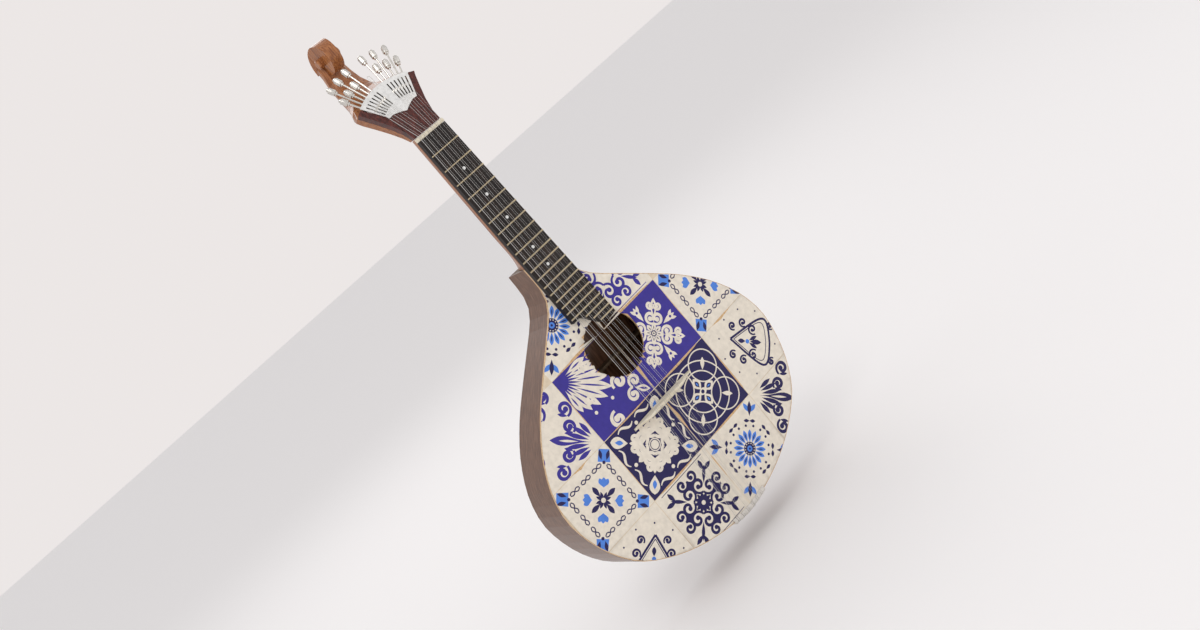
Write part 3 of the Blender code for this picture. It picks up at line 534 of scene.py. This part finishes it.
# Four pairs of scrolls and leaves between two thin lines, with or without a star in the middle
def arabesqueTile(colour="cobalt", star=False):
    made = []
    for hand in (1, -1):
        made += around(4, lambda t: scroll(colour, at(t, 14), t + hand * 0.8, 11, hand, 3.0), quarter)
        made += around(4, lambda t: scroll(colour, at(t, 36), t + hand * 1.5, 9, hand, 2.8))
        made += around(4, lambda t: petal(colour, at(t, 40), t + hand * 0.6, 16, 6), quarter)
    made += around(4, lambda t: petal(colour, at(t, 16), t, 20, 8, peak=0.65))
    made += around(4, lambda t: petal(colour, at(t, 24), t, 24, 5), quarter)
    for side in (-46, 46):
        made += band(colour, [(-40, side), (0, side), (40, side)], 0.9)
    if star:
        made += around(12, lambda t: petal(colour, (0, 0), t, 14, 5)) + disc("cream", (0, 0), 3)
    return made


tiles = {
    "size": 99.5,
    "corner": (2.5, 18.3),  # where four tiles meet, a little above the bridge
    "mergeWithin": 1e-4,  # points this near are one point
    "angleDigits": 3,  # decimals of a radian that tell the outline's points apart
    "groutHalf": 0.45,
    "inset": 0.6,  # from a tile's edge to the motifs that reach it
    "edgeInset": 0.9,  # from the soundboard's edge to the print
    "outlineBelow": 0.6,  # vertices this far under the dome still count as the soundboard's top
    "lift": 0.12,  # print over the soundboard
    "thickness": 0.08,
    "holeOverlap": 0.3,
    "spacing": 7.0,  # of the points that let the print follow the dome
    "xRange": (-196, 197),
    "yRange": (-184, 238),
    "colours": ["grout", "cream", "navy", "cobalt", "sky"],
    "cells": {  # column and row from the corner: ground, motifs
        (0, 0): ("cobalt", flowerTile()),
        (-1, 0): ("cobalt", palmetteTile()),
        (-1, -1): ("navy", rosetteTile()),
        (0, -1): ("navy", circlesTile()),
        (1, 0): ("cream", leafSquaresTile()),
        (-2, -1): ("cream", leafSquaresTile()),
        (1, -1): ("cream", heartTile(-quarter)),
        (-2, -2): ("cream", heartTile(-3 * quarter)),
        (0, 1): ("cream", arabesqueTile()),
        (-1, 1): ("cream", sunburstTile()),
        (0, -2): ("cream", sunburstTile()),
        (-2, 0): ("cream", radiatingTile(3 * quarter, "cobalt")),
        (1, -2): ("cream", radiatingTile(-quarter, "navy")),
        (-1, -2): ("cream", arabesqueTile("navy", True)),
    },
}


# The soundboard's edge: the farthest of its top's vertices at each angle round the hole, drawn in a little
def boardOutline():
    points = np.array([v.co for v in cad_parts["soundboard"].data.vertices]) / mm
    x, y, z = points[:, 0], points[:, 2] - rowUp, -points[:, 1] - rowLift
    centre = np.array(front["holeCentre"])
    flat = np.c_[x, y][z > dome(x, y) - tiles["outlineBelow"]] - centre
    angle = np.round(np.arctan2(flat[:, 1], flat[:, 0]), tiles["angleDigits"])
    order = np.lexsort((np.hypot(flat[:, 0], flat[:, 1]), angle))
    farthest = np.append(np.diff(angle[order]) != 0, True)
    line = flat[order][farthest]
    return line * (1 - tiles["edgeInset"] / np.hypot(line[:, 0], line[:, 1]))[:, None] + centre


# True where a point's winding number round the closed line isn't zero
def inPolygon(x, y, line):
    winding = np.zeros(len(x), int)
    for (xa, ya), (xb, yb) in zip(line, np.roll(line, -1, axis=0)):
        side = (xb - xa) * (y - ya) - (x - xa) * (yb - ya)
        winding += ((ya <= y) & (yb > y) & (side > 0)).astype(int)
        winding -= ((ya > y) & (yb <= y) & (side < 0)).astype(int)
    return winding != 0


# Every motif's outline, clipped to its tile and set in its cell
def tileShapes():
    shapes = []
    half = tiles["size"] / 2 - tiles["groutHalf"]
    for cell, (ground, motifs) in tiles["cells"].items():
        centre = np.array(tiles["corner"]) + (np.array(cell) + 0.5) * tiles["size"]
        for colour, outline in square(ground, half) + motifs:
            limit = half - tiles["inset"] * (len(outline) > 4)
            shapes.append((colour, np.clip(outline, -limit, limit) + centre))
    return shapes


# Closed edges along each line, as pairs of point numbers
def closedEdges(lines):
    edges, first = [], 0
    for line in lines:
        here = np.arange(len(line))
        edges += np.c_[first + here, first + (here + 1) % len(line)].tolist()
        first += len(line)
    return edges


# One surface: triangles cut along every outline, each in the colour of the motif on top, on the dome's height
def makeTiledFront():
    shapes = tileShapes()
    edge = boardOutline()
    lines = [edge] + [outline for _, outline in shapes]
    x, y = (np.arange(*tiles[side], tiles["spacing"]) for side in ("xRange", "yRange"))
    lattice = np.c_[np.repeat(x, len(y)), np.tile(y, len(x))]
    points = [Vector(point) for point in np.vstack(lines + [lattice])]
    found = delaunay_2d_cdt(points, closedEdges(lines), [], 0, tiles["mergeWithin"])
    flat = np.array([tuple(v) for v in found[0]])
    triangles = np.array(found[2])
    middle = flat[triangles].mean(axis=1)
    keep = inPolygon(middle[:, 0], middle[:, 1], edge)
    fromHole = np.hypot(middle[:, 0] - front["holeCentre"][0], middle[:, 1] - front["holeCentre"][1])
    keep &= fromHole > front["holeRadius"] - tiles["holeOverlap"]
    triangles, middle = triangles[keep], middle[keep]
    index = np.zeros(len(triangles), int)
    for colour, line in shapes:
        low, high = line.min(axis=0), line.max(axis=0)
        near = np.nonzero(((middle > low) & (middle < high)).all(axis=1))[0]
        within = inPolygon(middle[near, 0], middle[near, 1], line)
        index[near[within]] = tiles["colours"].index(colour)
    used, corners = np.unique(triangles, return_inverse=True)
    x, y = flat[used].T
    vertices = fromInstrument(x, y, dome(x, y) + tiles["lift"])
    looks = [colour + "Print" for colour in tiles["colours"]]
    piece = newPiece("tiledFront", vertices, corners.reshape(-1, 3).tolist(), looks, indices=index)
    sheet = piece.modifiers.new("Body", "SOLIDIFY")
    sheet.thickness = tiles["thickness"] * mm
    sheet.offset = -1
    print("tiled front:", len(index), "faces")


makeTiledFront()

frets = {
    "last": 21,
    "overhang": 0.1,  # past the board's edge
    "endGap": 1.2,  # least distance from the board's end
    "tries": 121,  # places across the board where a part fret may start
    "profile": [(-1.0, -0.05), (-0.95, 0.55), (-0.5, 1.06), (0.5, 1.06), (0.95, 0.55), (1.0, -0.05)],
}


# The wire's profile carried straight across the board, from the bass edge or the curved end to the treble
def makeFrets():
    along, up = np.array(frets["profile"]).T
    vertices, faces = [], []
    for number in range(1, frets["last"] + 1):
        y = fretHeight(number)
        high = boardHalf(y) + frets["overhang"]
        tries = np.linspace(-high, high, frets["tries"])
        low = tries[boardEnd(tries) < y - frets["endGap"]][0]
        faces += skinFaces(2, len(along), (number - 1) * 2 * len(along))
        vertices.append(fromInstrument([[low], [high]], y + along, boardTop(y) + up).reshape(-1, 3))
    newPiece("fretWire", np.vstack(vertices), faces, ["paleBrass"], smooth=False)
    print("frets made:", frets["last"])


dots = {"spaces": (3, 5, 7, 10, 12), "radius": 2.1, "sides": 20, "under": -0.3, "over": 0.06}


# A short plug in the middle of a fret space: one circle a little under the board's top, one a little over
def makeDots():
    turns = math.tau * np.arange(dots["sides"]) / dots["sides"]
    x, rise = dots["radius"] * np.cos(turns), dots["radius"] * np.sin(turns)
    vertices, faces = [], []
    for number, space in enumerate(dots["spaces"]):
        y = (fretHeight(space) + fretHeight(space - 1)) / 2 + rise
        z = boardTop(y) + np.array([[dots["under"]], [dots["over"]]])
        faces += skinFaces(2, dots["sides"], number * 2 * dots["sides"])
        vertices.append(fromInstrument(x, y, z).reshape(-1, 3))
    newPiece("pearlDots", np.vstack(vertices), faces, ["pearlDot"], smooth=False)
    print("dots made:", len(dots["spaces"]))


knobs = {
    "perSide": 6,
    "firstAngle": 6.2,  # degrees from the head's middle
    "angleStep": 3.6,
    "tips": (135.5, 116.5),  # from the nut, long and short by turns from the middle outwards
    "length": 13.5,
    "below": 4.8,  # screws' axes under the head's front
    "flutes": 12,
    "sides": 48,
    "fluteDepth": 0.42,
    "fromBase": [(-0.1, 2.0, 0), (-0.1, 2.6, 0), (1.7, 2.6, 0), (2.2, 3.7, 0), (2.8, 3.95, 1)],
    "fromTip": [(-3.0, 3.95, 1), (-2.4, 3.6, 0), (-1.9, 2.8, 0), (-0.5, 2.6, 0), (0.1, 2.0, 0)],
    "sharpAngle": 35,
}


# A sleeve with end beads over each screw's head: rings of a given place and radius along the screw's
# axis, less a cosine of the turn where the third number says that the ring is fluted
def makeKnobs():
    side = [knobs["firstAngle"] + knobs["angleStep"] * k for k in range(knobs["perSide"])]
    angles = [-angle for angle in side[::-1]] + side
    turns = math.tau * np.arange(knobs["sides"]) / knobs["sides"]
    flute = knobs["fluteDepth"] * (0.5 - 0.5 * np.cos(knobs["flutes"] * turns))
    fromBase, fromTip = np.array(knobs["fromBase"]), np.array(knobs["fromTip"])
    radius, fluted = np.vstack([fromBase, fromTip])[:, 1:, None].transpose(1, 0, 2)
    ringRadius = radius - flute * fluted
    across, height = ringRadius * np.cos(turns), ringRadius * np.sin(turns)
    faces = skinFaces(len(radius), knobs["sides"], turned=True)
    for number, angle in enumerate(angles, 1):
        fromMiddle = max(number - knobs["perSide"] - 1, knobs["perSide"] - number)
        tip = knobs["tips"][fromMiddle % 2]
        along = np.append(tip - knobs["length"] + fromBase[:, 0], tip + fromTip[:, 0])[:, None]
        c, s = math.cos(math.radians(angle)), math.sin(math.radians(angle))
        vertices = headPoint(along * s + across * c, along * c - across * s, height - knobs["below"])
        body = f"screw_{number}"
        knob = newPiece(f"flutedKnob{number}", vertices.reshape(-1, 3), faces, ["polishedNickel"], body=body)
        knob.data.set_sharp_from_angle(angle=math.radians(knobs["sharpAngle"]))
    print("knobs made:", len(angles))


wires = {
    "count": 12,
    "stretchFrom": 5,  # past the nut's lower face
    "endLength": 0.0008,  # metres of the wire's top that count as its end
}


# Each wire is a copy of its node's own mesh, with the node's place baked in, and the node is hidden
def makeStrings():
    pastNut = board["scaleLength"] + wires["stretchFrom"]
    nut = Vector(fromInstrument(0, pastNut, boardTop(board["scaleLength"])))
    for number in range(1, wires["count"] + 1):
        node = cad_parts[f"string_{number}"]
        mesh = node.data.copy()
        mesh.name = f"stringWire{number}"
        mesh.materials.clear()
        mesh.materials.append(materials["stringSteel"])
        wire = bpy.data.objects.new(f"stringWire{number}", mesh)
        bpy.context.scene.collection.objects.link(wire)
        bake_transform(wire)
        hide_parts(f"string_{number}")
    print("strings made:", wires["count"])


makeFrets()
makeDots()
makeKnobs()
makeStrings()

view = {
    "lens": 41.22,
    "sensorWidth": 36,
    "farthest": 50,
    "place": (-0.72924, -1.590466, 0.450233),
    "ahead": (0.433, 0.884, -0.179),
    "up": (0.641, -0.162, 0.750),
}


# The up direction is squared to the direction ahead, and right is square to both
def makeCamera():
    ahead, up = Vector(view["ahead"]), Vector(view["up"])
    up = (up - ahead.normalized() * up.dot(ahead.normalized())).normalized()
    back = -ahead.normalized()
    right = up.cross(back)
    lens = bpy.data.cameras.new("photoCamera")
    lens.lens = view["lens"]
    lens.sensor_width = view["sensorWidth"]
    lens.sensor_fit = "HORIZONTAL"
    lens.clip_end = view["farthest"]
    camera = bpy.data.objects.new("photoCamera", lens)
    bpy.context.scene.collection.objects.link(camera)
    turned = Matrix((right, up, back)).transposed().to_4x4()
    camera.matrix_world = Matrix.Translation(view["place"]) @ turned
    bpy.context.scene.camera = camera


room = {
    "floorHeight": -0.22,
    "floorReach": 12,
    "floorColour": (0.92, 0.90, 0.89, 1),
    "floorRoughness": 0.8,
    "lightColour": (0.80, 0.79, 0.80, 1),
    "lightStrength": 0.95,
    "backdrop": (0.84, 0.80, 0.79, 1),
}


def makeFloor():
    reach, height = room["floorReach"], room["floorHeight"]
    mesh = bpy.data.meshes.new("floor")
    corners = [(-reach, -reach), (reach, -reach), (reach, reach), (-reach, reach)]
    mesh.from_pydata([(x, y, height) for x, y in corners], [], [(0, 1, 2, 3)])
    floor = bpy.data.objects.new("floor", mesh)
    bpy.context.scene.collection.objects.link(floor)
    pale = bpy.data.materials.new("paleFloor")
    pale.use_nodes = True
    shader = pale.node_tree.nodes["Principled BSDF"]
    shader.inputs["Base Color"].default_value = room["floorColour"]
    shader.inputs["Roughness"].default_value = room["floorRoughness"]
    mesh.materials.append(pale)


# The world lights with one colour and shows the camera another
def makeWorld():
    world = bpy.data.worlds.new("paleRoom")
    world.use_nodes = True
    nodes, links = world.node_tree.nodes, world.node_tree.links
    nodes["Background"].inputs["Color"].default_value = room["lightColour"]
    nodes["Background"].inputs["Strength"].default_value = room["lightStrength"]
    seen = nodes.new("ShaderNodeBackground")
    seen.inputs["Color"].default_value = room["backdrop"]
    choose = nodes.new("ShaderNodeMixShader")
    links.new(nodes.new("ShaderNodeLightPath").outputs["Is Camera Ray"], choose.inputs["Fac"])
    links.new(nodes["Background"].outputs["Background"], choose.inputs[1])
    links.new(seen.outputs["Background"], choose.inputs[2])
    links.new(choose.outputs["Shader"], nodes["World Output"].inputs["Surface"])
    bpy.context.scene.world = world
    bpy.context.scene.view_settings.view_transform = "Standard"


lamps = {  # place, size, power
    "keyLight": ((-1.2, -1.6, 2.2), 1.2, 15),
    "fillLight": ((1.8, -1.4, 1.0), 1.6, 5),
    "rimLight": ((0.4, 1.8, 1.6), 1.4, 8),
}
lampTarget = (0, 0, 0.2)


def makeLamps():
    for name, (place, size, power) in lamps.items():
        lamp = bpy.data.lights.new(name, "AREA")
        lamp.size = size
        lamp.energy = power
        light = bpy.data.objects.new(name, lamp)
        bpy.context.scene.collection.objects.link(light)
        light.location = place
        light.rotation_mode = "QUATERNION"
        light.rotation_quaternion = (Vector(place) - Vector(lampTarget)).to_track_quat("Z", "Y")


makeCamera()
makeFloor()
makeWorld()
makeLamps()
print("camera, floor and lamps made")
